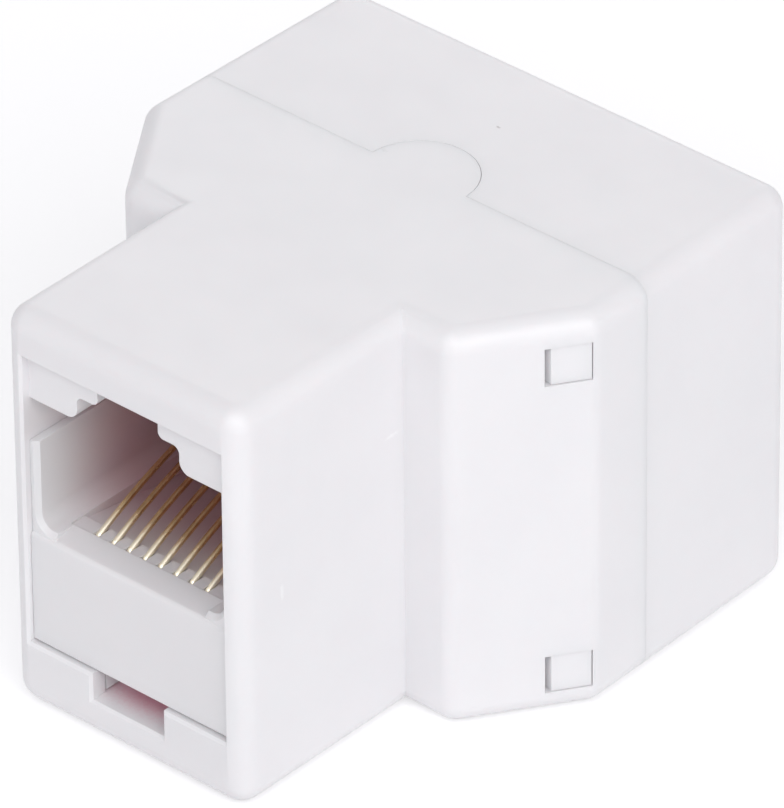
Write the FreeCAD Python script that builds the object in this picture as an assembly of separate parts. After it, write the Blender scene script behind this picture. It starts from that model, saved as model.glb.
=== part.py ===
import FreeCAD, Part
import math
import os
from FreeCAD import Vector

os.makedirs("parts", exist_ok=True)

# Splitter adapter with one socket in a neck at the front and two sockets side by side at the rear.
# Millimetres. X is the width, Y runs from the front face to the rear face, Z is up.
# The pieces are modelled with the front face at y = 0 and moved at the end, so that the origin lies
# under the middle of the adapter, on the surface that it stands on.

# Socket opening, the same at all three sockets
socket_width = 12.8
socket_depth = 15.55
floor_thickness = 2.15
lip_height = 1.55
lip_thickness = 1.0
panel_height = 6.25
plug_gap = 7.35
latch_step = 1.4
latch_headroom = 1.2
roof_thickness = 2.5
latch_width = 6.6
latch_neck_width = 3.9
tab_recess = 0.6
tab_depth = 2.6
tab_corner_radius = 0.65
latch_corner_radius = 0.35
latch_root_radius = 0.4
release_slot_width = 4.65
mouth_edge_bevel = 0.15

# Case
neck_wall = 1.2
shoulder_to_board = 3.8
shoulder_step = 2.85
shoulder_wall = 1.2
facet_depth = 6.1
seam_after_facet = 3.75
divider_thickness = 1.1
rear_side_wall = 0.95
side_draft = 0.3
shell_wall = 1.2
corner_radius = 1.2
edge_radius = 1.2

# Half-round tongue on the top of the seam
tongue_radius = 3.0
tongue_thickness = 1.2
tongue_gap = 0.02

# Snap windows and arms
window_start = 4.77
window_length = 2.4
window_height = 2.15
lower_window_inset = 1.3
upper_window_inset = 1.5
hook_play = 0.04
hook_recess = 0.08
hook_ramp = 0.34
hook_ramp_depth = 0.8
arm_thickness = 1.1
arm_root_length = 0.6
arm_tip_overhang = 0.15

# Contact blocks
fit_clearance = 0.1
side_clearance = 0.02
panel_recess = 0.35
panel_edge_radius = 0.3
panel_gap = 0.15
under_recess_length = 4.5
cheek_thickness = 0.45
cheek_height = 4.95
cheek_recess = 0.12
cheek_edge_bevel = 0.25
cheek_root_radius = 0.8
ledge_rise = 0.35
tail_length = 5.2
tail_width = 9.7
comb_start = 1.46
comb_tooth_length = 1.0
comb_margin = 1.5
tooth_drop = 0.1
tooth_nose_radius = 0.38
trough_drop = 0.25
trough_slope = 8.0
stop_wall_to_board = 3.2
stop_wall_thickness = 1.0
stop_wall_height = 9.8
stop_slot_sill = 2.5
standoff = 1.2
foot_width = 1.2
foot_height = 0.6

# Spring wires
contact_count = 8
contact_pitch = 1.016
wire_width = 0.3
wire_thickness = 0.3
wire_slot_width = 0.36
nose_radius = 0.5
spring_angle = 28.0
spring_bend = 18.0
joggle_length = 1.2
joggle_lead = 0.45
tail_stub = 0.8
front_rows = (8.4, 6.1)
rear_rows = (7.25, 4.95)

# Circuit board
board_thickness = 1.6
board_margin = 0.5
board_bottom = 3.8
board_height = 15.1
hole_clearance = 0.1

# Sizes that follow from the ones above
lip_top = floor_thickness + lip_height
panel_top = lip_top + panel_gap + panel_height
ledge_top = panel_top + ledge_rise
tab_bottom = ledge_top + plug_gap
latch_step_top = tab_bottom + latch_step
socket_top = latch_step_top + latch_headroom
overall_height = socket_top + roof_thickness
overall_length = 2 * socket_depth + board_thickness
board_front = socket_depth
board_rear = socket_depth + board_thickness
neck_length = board_front - shoulder_to_board
neck_half = socket_width / 2 + neck_wall
shoulder_half = neck_half + shoulder_step
rear_half = socket_width + divider_thickness / 2 + rear_side_wall
body_half = rear_half + side_draft
facet_end = neck_length + facet_depth
front_shell_length = facet_end + seam_after_facet
seam_half = body_half - side_draft * (front_shell_length - facet_end) / (overall_length - facet_end)
socket_offset = (socket_width + divider_thickness) / 2
facet_run = body_half - shoulder_half
facet_angle = math.degrees(math.atan2(facet_depth, facet_run))
wide_end = board_front - tail_length
stop_wall_start = board_front - stop_wall_to_board
comb_front = panel_recess + comb_start
nose_front = comb_front + fit_clearance
spring_rise = math.radians(spring_angle - spring_bend / 2)
spring_reach = stop_wall_start + stop_wall_thickness / 2 - nose_front - nose_radius
spring_length = spring_reach / math.cos(spring_rise)
reach = 2 * overall_length


def box(x0, x1, y0, y1, z0, z1):
    """A block between two corners."""
    return Part.makeBox(x1 - x0, y1 - y0, z1 - z0, Vector(x0, y0, z0))


def mirrored(shape):
    """The same shape on the other side of the middle plane."""
    return shape.mirror(Vector(0, 0, 0), Vector(1, 0, 0))


def rounded_wire(points, radii):
    """A closed outline through the points, each corner rounded by an arc of its radius."""
    count = len(points)
    starts = []
    ends = []
    arcs = []
    for i, corner in enumerate(points):
        if radii[i] == 0:
            starts.append(corner)
            ends.append(corner)
            arcs.append(None)
            continue
        before = (points[i - 1] - corner).normalize()
        after = (points[(i + 1) % count] - corner).normalize()
        half_angle = before.getAngle(after) / 2
        along = radii[i] / math.tan(half_angle)
        bisector = (before + after).normalize()
        starts.append(corner + before * along)
        ends.append(corner + after * along)
        middle = corner + bisector * (radii[i] / math.sin(half_angle) - radii[i])
        arcs.append(Part.Arc(starts[i], middle, ends[i]).toShape())
    edges = []
    for i in range(count):
        if arcs[i]:
            edges.append(arcs[i])
        edges.append(Part.LineSegment(ends[i], starts[(i + 1) % count]).toShape())
    return Part.Wire(edges)


def prism(points, radii, direction):
    """A solid with the rounded outline as its section."""
    return Part.Face(rounded_wire(points, radii)).extrude(direction)


def plan_prism(plan, radii, z0, z1):
    """A solid that stands on a plan outline between two heights."""
    return prism([Vector(x, y, z0) for x, y in plan], radii, Vector(0, 0, z1 - z0))


def on_plane(edge, axis, value):
    """Whether an edge lies in the plane where one coordinate has this value."""
    low = (edge.BoundBox.XMin, edge.BoundBox.YMin, edge.BoundBox.ZMin)[axis]
    high = (edge.BoundBox.XMax, edge.BoundBox.YMax, edge.BoundBox.ZMax)[axis]
    return abs(low - value) < 1e-4 and abs(high - value) < 1e-4


def soften(half):
    """Round the edges round the top and the underside of a half, but not the ones at the seam."""
    edges = [edge for edge in half.Edges if on_plane(edge, 2, 0) or on_plane(edge, 2, overall_height)]
    return half.makeFillet(edge_radius, [edge for edge in edges if not on_plane(edge, 1, front_shell_length)])


def rear_pair(build):
    """The two rear copies of a socket feature, turned to face the rear."""
    copies = []
    for side in (-1, 1):
        shape = build.copy()
        shape.rotate(Vector(0, 0, 0), Vector(0, 0, 1), 180)
        shape.translate(Vector(side * socket_offset, overall_length, 0))
        copies.append(shape)
    return copies


def tapered_mouth(x0, x1, z0, z1):
    """A block that narrows into the front face and leaves a bevel round an opening there."""
    bevel = mouth_edge_bevel
    wide = 2 * bevel
    return Part.makeWedge(x0 - wide, -bevel, z0 - wide, z0, x0, x1 + wide, bevel, z1 + wide, z1, x1)


def socket_tunnel(length):
    """The space of one socket: the tunnel, its mouth above the lip and the release slot in the lip."""
    half = socket_width / 2
    slot_half = release_slot_width / 2
    mouth = box(-half, half, -1, length, lip_top, socket_top)
    tunnel = box(-half, half, lip_thickness, length, floor_thickness, socket_top)
    slot = box(-slot_half, slot_half, -1, length, floor_thickness, lip_top + 1)
    bevels = [
        tapered_mouth(-half, half, lip_top, socket_top),
        tapered_mouth(-slot_half, slot_half, floor_thickness, lip_top),
    ]
    return mouth.fuse([tunnel, slot] + bevels).removeSplitter()


def latch_tab():
    """The right-hand tab that hangs from the roof of a socket and catches the latch of the plug."""
    outer = socket_width / 2
    step = latch_width / 2
    inner = latch_neck_width / 2
    corners = [
        (outer, socket_top, 0),
        (inner, socket_top, 0),
        (inner, latch_step_top, latch_corner_radius),
        (step, latch_step_top, latch_root_radius),
        (step, tab_bottom, tab_corner_radius),
        (outer, tab_bottom, 0),
    ]
    points = [Vector(x, tab_recess, z) for x, z, _ in corners]
    return prism(points, [radius for _, _, radius in corners], Vector(0, tab_depth, 0))


def latch_tabs():
    """Both tabs of one socket."""
    tab = latch_tab()
    return [tab, mirrored(tab)]


def facet_block(s0, s1, n0, n1, z0, z1):
    """A block set along the right-hand slanted corner, s along the corner and n into the case."""
    shape = box(s0, s1, n0, n1, z0, z1)
    shape.rotate(Vector(0, 0, 0), Vector(0, 0, 1), facet_angle)
    shape.translate(Vector(shoulder_half, neck_length, 0))
    return shape


def facet_point(s, n):
    """A plan point beside the right-hand slanted corner, s along it and n into the case."""
    along = math.radians(facet_angle)
    x = shoulder_half + s * math.cos(along) - n * math.sin(along)
    y = neck_length + s * math.sin(along) + n * math.cos(along)
    return (x, y)


def facet_s_at_x(x, n):
    """How far along the slanted corner a line n inside it reaches this x."""
    along = math.radians(facet_angle)
    return (x - shoulder_half + n * math.sin(along)) / math.cos(along)


def snap_levels():
    """Lowest and highest points of the lower and upper snap windows."""
    lower_top = lower_window_inset + window_height
    upper_top = overall_height - upper_window_inset
    return [(lower_window_inset, lower_top), (upper_top - window_height, upper_top)]


def symmetric(shapes):
    """The right-hand shapes with their mirror images."""
    return shapes + [mirrored(shape) for shape in shapes]


def tongue(radius, length_back, z0):
    """The half-round tongue over the seam, with a root that reaches back into the front half."""
    half_round = Part.makeCylinder(radius, overall_height - z0, Vector(0, front_shell_length, z0))
    ahead = box(-radius, radius, front_shell_length - radius, front_shell_length, z0, overall_height)
    root = box(-radius, radius, front_shell_length - length_back, front_shell_length, z0, overall_height)
    return half_round.cut(ahead).fuse(root).removeSplitter()


def front_shell():
    """Front half of the case: neck, shoulders, slanted corners, snap windows and tongue."""
    right = [
        (neck_half, 0, corner_radius),
        (neck_half, neck_length, 0),
        (shoulder_half, neck_length, corner_radius),
        (body_half, facet_end, corner_radius),
        (seam_half, front_shell_length, 0),
    ]
    outline = right + [(-x, y, radius) for x, y, radius in reversed(right)]
    plan = [(x, y) for x, y, _ in outline]
    shell = plan_prism(plan, [radius for _, _, radius in outline], 0, overall_height)
    shell = soften(shell)

    inner_start = neck_length + shoulder_wall
    inner_facet = facet_point(facet_s_at_x(0, shell_wall), shell_wall)
    tangent = math.tan(math.radians(facet_angle))
    inner_half = body_half - shell_wall
    corner_x = (inner_start - inner_facet[1]) / tangent
    corner_y = inner_facet[1] + inner_half * tangent
    right = [
        (corner_x, inner_start),
        (inner_half, corner_y),
        (seam_half - shell_wall, front_shell_length),
        (seam_half - shell_wall, reach),
    ]
    plan = right + [(-x, y) for x, y in reversed(right)]
    chamber = plan_prism(plan, [0] * len(plan), shell_wall, overall_height - shell_wall)
    shell = shell.cut(chamber.fuse(socket_tunnel(inner_start + shell_wall)))
    front_tongue = tongue(tongue_radius, tongue_radius, overall_height - tongue_thickness)
    shell = shell.fuse(latch_tabs() + [front_tongue])

    windows = [
        facet_block(window_start, window_start + window_length, -1, 2 * shell_wall, z0, z1)
        for z0, z1 in snap_levels()
    ]
    return shell.cut(symmetric(windows)).removeSplitter()


def snap_arm(z0, z1):
    """A right-hand snap arm along the inside of the front half, with a hook that slopes up from its front."""
    outer_x = seam_half - shell_wall - fit_clearance
    inner_x = outer_x - arm_thickness
    outer_n = shell_wall + fit_clearance
    inner_n = outer_n + arm_thickness
    tip = window_start - arm_tip_overhang
    root_y = front_shell_length + arm_root_length
    plan = [
        (outer_x, root_y),
        facet_point(facet_s_at_x(outer_x, outer_n), outer_n),
        facet_point(tip, outer_n),
        facet_point(tip, inner_n),
        facet_point(facet_s_at_x(inner_x, inner_n), inner_n),
        (inner_x, root_y),
    ]
    low = z0 + hook_play
    high = z1 - hook_play
    arm = plan_prism(plan, [0] * len(plan), low, high)
    hook_front = window_start + hook_play
    hook_end = window_start + window_length - hook_play
    hook_root = outer_n + arm_thickness / 2
    plan = [
        facet_point(window_start + hook_ramp, hook_recess),
        facet_point(hook_end, hook_recess),
        facet_point(hook_end, hook_root),
        facet_point(hook_front, hook_root),
        facet_point(hook_front, hook_ramp_depth),
    ]
    hook = plan_prism(plan, [0] * len(plan), low, high)
    root = box(inner_x, seam_half - shell_wall / 2, front_shell_length, root_y, low, high)
    return arm.fuse([hook, root]).removeSplitter()


def rear_shell():
    """Rear half of the case: two socket tunnels with their tabs and four snap arms."""
    right = [
        (seam_half, front_shell_length, 0),
        (rear_half, overall_length, corner_radius),
    ]
    outline = right + [(-x, y, radius) for x, y, radius in reversed(right)]
    plan = [(x, y) for x, y, _ in outline]
    shell = plan_prism(plan, [radius for _, _, radius in outline], 0, overall_height)
    shell = soften(shell)

    tunnel_length = overall_length - front_shell_length + 1
    shell = shell.cut(rear_pair(socket_tunnel(tunnel_length)))
    tabs = [copy for tab in latch_tabs() for copy in rear_pair(tab)]
    shell = shell.fuse(tabs)
    recess = tongue(tongue_radius + tongue_gap, 1, overall_height - tongue_thickness - tongue_gap)
    shell = shell.cut(recess)
    arms = [snap_arm(z0, z1) for z0, z1 in snap_levels()]
    return shell.fuse(symmetric(arms)).removeSplitter()


def contact_xs():
    """Places of the eight wires across a socket."""
    return [(i - (contact_count - 1) / 2) * contact_pitch for i in range(contact_count)]


def nose_centre():
    """Centre of the bend at the front of every wire, in the side view."""
    return Vector(0, nose_front + nose_radius, ledge_top - nose_radius)


def row_of(index, rows):
    """Height of the solder tail of one wire: the tails alternate between two rows."""
    return rows[index % 2]


def joggle_start():
    """Where the lower runs begin to slope to the level of their tails."""
    return stop_wall_start + joggle_lead


def yz(angle):
    """A unit direction in the side view, at an angle forward of straight up."""
    return Vector(0, -math.sin(angle), math.cos(angle))


def mitred(points, distance):
    """The points of a bent line moved sideways by a distance, with its corners kept sharp."""
    runs = [(after - before).normalize() for before, after in zip(points, points[1:])]
    sides = [Vector(0, -run.z, run.y) for run in runs]
    moved = []
    for point, before, after in zip(points, sides[:1] + sides, sides + sides[-1:]):
        middle = (before + after).normalize()
        moved.append(point + middle * (distance / middle.dot(before)))
    return moved


def lower_run(row, back_y, front_y):
    """Middle line of a wire under the trough, from a place on its tail to one behind its front bend."""
    slope = math.radians(trough_slope)
    bend_end = nose_centre() + yz(math.pi - slope) * (nose_radius - wire_thickness / 2)

    def on_slope(y):
        return Vector(0, y, bend_end.z - (y - bend_end.y) * math.tan(slope))

    start = joggle_start()
    tail = Vector(0, start + joggle_length, row)
    return [Vector(0, back_y, row), tail, on_slope(start), on_slope(max(front_y, bend_end.y))]


def strip_side(row, distance):
    """Edges of one face of a bent strip, at a distance outside its middle line, from tail to tip."""
    bend = nose_radius - wire_thickness / 2
    lead = math.pi - math.radians(trough_slope)
    slope = math.radians(spring_angle)
    sweep = math.radians(spring_bend)
    bow = spring_length / sweep
    centre = nose_centre()
    bow_centre = centre + yz(slope) * (bend - bow)
    side = mitred(lower_run(row, board_rear + tail_stub, nose_front), distance)
    edges = [Part.LineSegment(a, b).toShape() for a, b in zip(side, side[1:])]
    nose = [centre + yz(angle) * (bend + distance) for angle in (lead, (lead + slope) / 2, slope)]
    spring = [bow_centre + yz(slope - turn) * (bow + distance) for turn in (0, sweep / 2, sweep)]
    edges.append(Part.Arc(*nose).toShape())
    edges.append(Part.Arc(*spring).toShape())
    return edges, side[0], spring[-1]


def wire_solid(x, row):
    """One spring wire, cut from flat strip and bent: tail, lower run, bend at the front, bowed spring."""
    outer, outer_tail, outer_tip = strip_side(row, wire_thickness / 2)
    inner, inner_tail, inner_tip = strip_side(row, -wire_thickness / 2)
    tip = Part.LineSegment(outer_tip, inner_tip).toShape()
    tail = Part.LineSegment(inner_tail, outer_tail).toShape()
    outline = Part.Wire(outer + [tip] + inner[::-1] + [tail])
    wire = Part.Face(outline).extrude(Vector(wire_width, 0, 0))
    wire.translate(Vector(x - wire_width / 2, 0, 0))
    return wire


def insert_side_profile():
    """Side outline of the upper front of a contact block: panel, rounded edge and rising ledge."""
    bottom = lip_top + panel_gap
    corners = [
        (panel_recess, bottom, 0),
        (panel_recess, panel_top, panel_edge_radius),
        (comb_front, ledge_top, 0),
        (wide_end, ledge_top, 0),
        (wide_end, bottom, 0),
    ]
    return corners


def cheek():
    """The right-hand cheek of a contact block, with the hollow curve where it meets the ledge."""
    half = socket_width / 2 - side_clearance
    inner = half - cheek_thickness
    start = panel_recess + cheek_recess
    top = ledge_top + cheek_height
    foot = inner - cheek_root_radius - cheek_edge_bevel
    section = [
        (half, panel_top, 0),
        (half, top, 0),
        (inner, top, 0),
        (inner, ledge_top, cheek_root_radius),
        (foot, ledge_top, 0),
        (foot, panel_top, 0),
    ]
    points = [Vector(x, start, z) for x, z, _ in section]
    wall = prism(points, [radius for _, _, radius in section], Vector(0, wide_end - start, 0))
    front = [edge for edge in wall.Edges if on_plane(edge, 1, start) and edge.BoundBox.XMax < half]
    raised = [edge for edge in front if edge.CenterOfMass.z > ledge_top - 0.01]
    return wall.makeChamfer(cheek_edge_bevel, raised)


def insert_body():
    """The contact block without its wire slots: panel, ledge, cheeks, stop wall and feet."""
    half = socket_width / 2 - side_clearance
    bottom = floor_thickness + fit_clearance
    back = board_front - standoff
    profile = insert_side_profile()
    points = [Vector(-half, y, z) for y, z, _ in profile]
    upper = prism(points, [radius for _, _, radius in profile], Vector(2 * half, 0, 0))
    lower = box(-half, half, lip_thickness + fit_clearance, wide_end, bottom, lip_top + panel_gap)
    tail = box(-tail_width / 2, tail_width / 2, wide_end, back, bottom, ledge_top)
    stop = box(
        -tail_width / 2,
        tail_width / 2,
        stop_wall_start,
        stop_wall_start + stop_wall_thickness,
        ledge_top,
        ledge_top + stop_wall_height,
    )
    foot_starts = (board_bottom + fit_clearance, ledge_top - foot_height)
    side = tail_width / 2
    feet = [box(side - foot_width, side, back, board_front, z, z + foot_height) for z in foot_starts]
    return upper.fuse([lower, tail, stop] + symmetric([cheek()] + feet)).removeSplitter()


def comb_half():
    """Half the width of the field that the wires lie in."""
    return contact_xs()[-1] + comb_margin


def trough():
    """The sloping trough behind the comb teeth, which lets the wires sink under a plug."""
    start = comb_front + comb_tooth_length
    end = stop_wall_start
    fall = (end - start) * math.tan(math.radians(trough_slope))
    top = ledge_top + 1
    points = [
        Vector(-comb_half(), start, top),
        Vector(-comb_half(), start, ledge_top - trough_drop),
        Vector(-comb_half(), end, ledge_top - trough_drop - fall),
        Vector(-comb_half(), end, top),
    ]
    return prism(points, [0] * len(points), Vector(2 * comb_half(), 0, 0))


def tooth_field():
    """The shallow step on top of the comb teeth."""
    end = comb_front + comb_tooth_length
    return box(-comb_half(), comb_half(), comb_front, end, ledge_top - tooth_drop, ledge_top + 1)


def comb_gaps():
    """The open space of the comb: a pit across all wires, less the teeth, whose front ends are round."""
    xs = contact_xs()
    end = comb_front + comb_tooth_length
    bottom = nose_centre().z - nose_radius - fit_clearance
    top = ledge_top + 1
    half_slot = wire_slot_width / 2
    pit = box(xs[0] - half_slot, xs[-1] + half_slot, comb_front, end, bottom, top)
    nose_y = comb_front + tooth_nose_radius
    teeth = []
    for left, right in zip(xs, xs[1:]):
        nose = Part.makeCylinder(tooth_nose_radius, top - bottom, Vector((left + right) / 2, nose_y, bottom))
        shank = box(left, right, nose_y, end, bottom, top)
        width = box(left + half_slot, right - half_slot, comb_front, end, bottom, top)
        teeth.append(nose.fuse(shank).common(width))
    return pit.cut(teeth)


def under_recess():
    """The hollow under the panel, behind the release slot."""
    half = release_slot_width / 2
    start = lip_thickness
    return box(-half, half, start, start + under_recess_length, floor_thickness, lip_top + panel_gap)


def wire_passage(row):
    """The closed channel of one wire, from the back of the comb to the board."""
    play = Vector(0, 0, wire_thickness / 2 + fit_clearance)
    bend, front = lower_run(row, board_front, comb_front + comb_tooth_length / 2)[2:]
    high = max(row, bend.z)
    low = min(row, bend.z)
    before_bend = Vector(0, bend.y - joggle_lead / 2, bend.z)
    upper = [front, Vector(0, bend.y, high), Vector(0, board_front, high)]
    lower = [Vector(0, board_front, low), Vector(0, bend.y, low), before_bend, front]
    outline = [point + play for point in upper] + [point - play for point in lower]
    return prism(outline, [0] * len(outline), Vector(wire_slot_width, 0, 0))


def wire_slots(rows):
    """The passages of all eight wires, and the slots in the stop wall in which the springs move."""
    stop_floor = ledge_top + stop_slot_sill
    slots = []
    for i, x in enumerate(contact_xs()):
        x0 = x - wire_slot_width / 2
        passage = wire_passage(row_of(i, rows))
        passage.translate(Vector(x0, 0, 0))
        slots.append(passage)
        slots.append(box(x0, x0 + wire_slot_width, stop_wall_start - 1, board_front, stop_floor, reach))
    return slots


def insert(rows):
    """A whole contact block, moulded in one piece."""
    cuts = [trough(), tooth_field(), comb_gaps(), under_recess()] + wire_slots(rows)
    return insert_body().cut(cuts).removeSplitter()


def circuit_board(tails):
    """The board across the middle, with a slot for each flat solder tail."""
    half = socket_offset + contact_xs()[-1] + wire_width / 2 + board_margin
    top = board_bottom + board_height
    board = box(-half, half, board_front, board_rear, board_bottom, top)
    wide = wire_width / 2 + hole_clearance
    high = wire_thickness / 2 + hole_clearance
    holes = [box(x - wide, x + wide, board_front, board_rear, z - high, z + high) for x, z in tails]
    return board.cut(holes)


def save(name, shape):
    """Centre one piece over the origin and write it."""
    placed = shape.copy()
    placed.translate(Vector(0, -overall_length / 2, 0))
    placed.exportStep("parts/" + name + ".step")
    print(name, round(placed.Volume, 3), placed.isValid(), len(placed.Solids))


def main():
    """Build every piece and write it under its own name."""
    save("front_shell", front_shell())
    save("rear_shell", rear_shell())
    save("front_insert", insert(front_rows))
    tails = []
    for i, x in enumerate(contact_xs()):
        save("front_contact_%d" % (i + 1), wire_solid(x, row_of(i, front_rows)))
        tails.append((x, row_of(i, front_rows)))
    for side, copy in zip(("left", "right"), rear_pair(insert(rear_rows))):
        save(side + "_insert", copy)
    for i, x in enumerate(contact_xs()):
        row = row_of(i, rear_rows)
        for side, copy in zip(("left", "right"), rear_pair(wire_solid(x, row))):
            save("%s_contact_%d" % (side, i + 1), copy)
        tails += [(offset - x, row) for offset in (-socket_offset, socket_offset)]
    save("circuit_board", circuit_board(tails))


main()
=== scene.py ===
"""Dresses the splitter adapter: case halves, contact blocks, spring wires, circuit board and studio."""

from __future__ import annotations

import logging
import math
from dataclasses import dataclass, field
from enum import Enum
from typing import Optional, Sequence, Union

import bmesh
import bpy
import numpy as np
from mathutils import Matrix, Vector

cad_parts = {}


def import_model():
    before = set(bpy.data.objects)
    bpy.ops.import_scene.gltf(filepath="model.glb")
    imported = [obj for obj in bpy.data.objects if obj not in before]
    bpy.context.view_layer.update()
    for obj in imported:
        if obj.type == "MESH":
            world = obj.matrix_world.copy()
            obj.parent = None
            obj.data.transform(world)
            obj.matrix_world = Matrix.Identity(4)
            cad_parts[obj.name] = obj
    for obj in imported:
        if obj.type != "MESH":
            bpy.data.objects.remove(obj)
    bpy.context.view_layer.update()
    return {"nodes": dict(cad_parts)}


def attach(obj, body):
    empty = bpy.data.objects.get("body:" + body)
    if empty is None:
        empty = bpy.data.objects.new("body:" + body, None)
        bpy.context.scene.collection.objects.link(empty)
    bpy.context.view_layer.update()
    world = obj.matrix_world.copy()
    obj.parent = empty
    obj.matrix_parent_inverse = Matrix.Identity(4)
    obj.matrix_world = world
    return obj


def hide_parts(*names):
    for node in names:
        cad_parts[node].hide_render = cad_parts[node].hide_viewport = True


LOG = logging.getLogger("splitter")
Colour = tuple[float, float, float]
Point = tuple[float, float, float]
Span = tuple[float, float]
NodeValue = Union[bpy.types.NodeSocket, float, tuple]

# Sizes and places are in millimetres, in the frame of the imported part, and this turns them into metres.
MM = 0.001
# From the middle of the case to each end face.
HALF_LENGTH = 16.35
# Half widths of the single socket and of the two rear ones together.
FRONT_HALF_WIDTH = 6.45
REAR_HALF_WIDTH = 13.6
# Heights of the two rows of solder tails of the single socket and of the rear ones.
FRONT_TAILS = (8.4, 6.1)
REAR_TAILS = (7.25, 4.95)
# Edges sharper than this many degrees are crisp, unless a call says otherwise.
CRISP_ANGLE = 50.0


class Socket(Enum):
    """The three sockets: the single one in the neck and the two side by side at the rear."""

    FRONT = "front"
    LEFT = "left"
    RIGHT = "right"

    @property
    def turn(self) -> float:
        """1 for the single socket, and -1 for a rear one, which is turned half round about Z."""
        return 1.0 if self is Socket.FRONT else -1.0

    @property
    def side(self) -> float:
        """0 for the single socket, which is in the middle, -1 for the left one and 1 for the right one."""
        return {Socket.FRONT: 0.0, Socket.LEFT: -1.0, Socket.RIGHT: 1.0}[self]


@dataclass(frozen=True)
class Noise:
    """A noise pattern.

    Attributes:
        scale: Cycles in a metre, or in a unit of the vector that it reads.
        detail: Number of finer layers.
        roughness: Strength of the finer layers.
        ends: The two noise values between which a mapping of the pattern runs.
    """

    scale: float
    detail: float = 2.0
    roughness: float = 0.5
    ends: Span = (0.0, 1.0)


@dataclass(frozen=True)
class Relief:
    """How a height pattern bends a surface: its depth in millimetres, and the share of the effect."""

    depth: float
    strength: float


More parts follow.
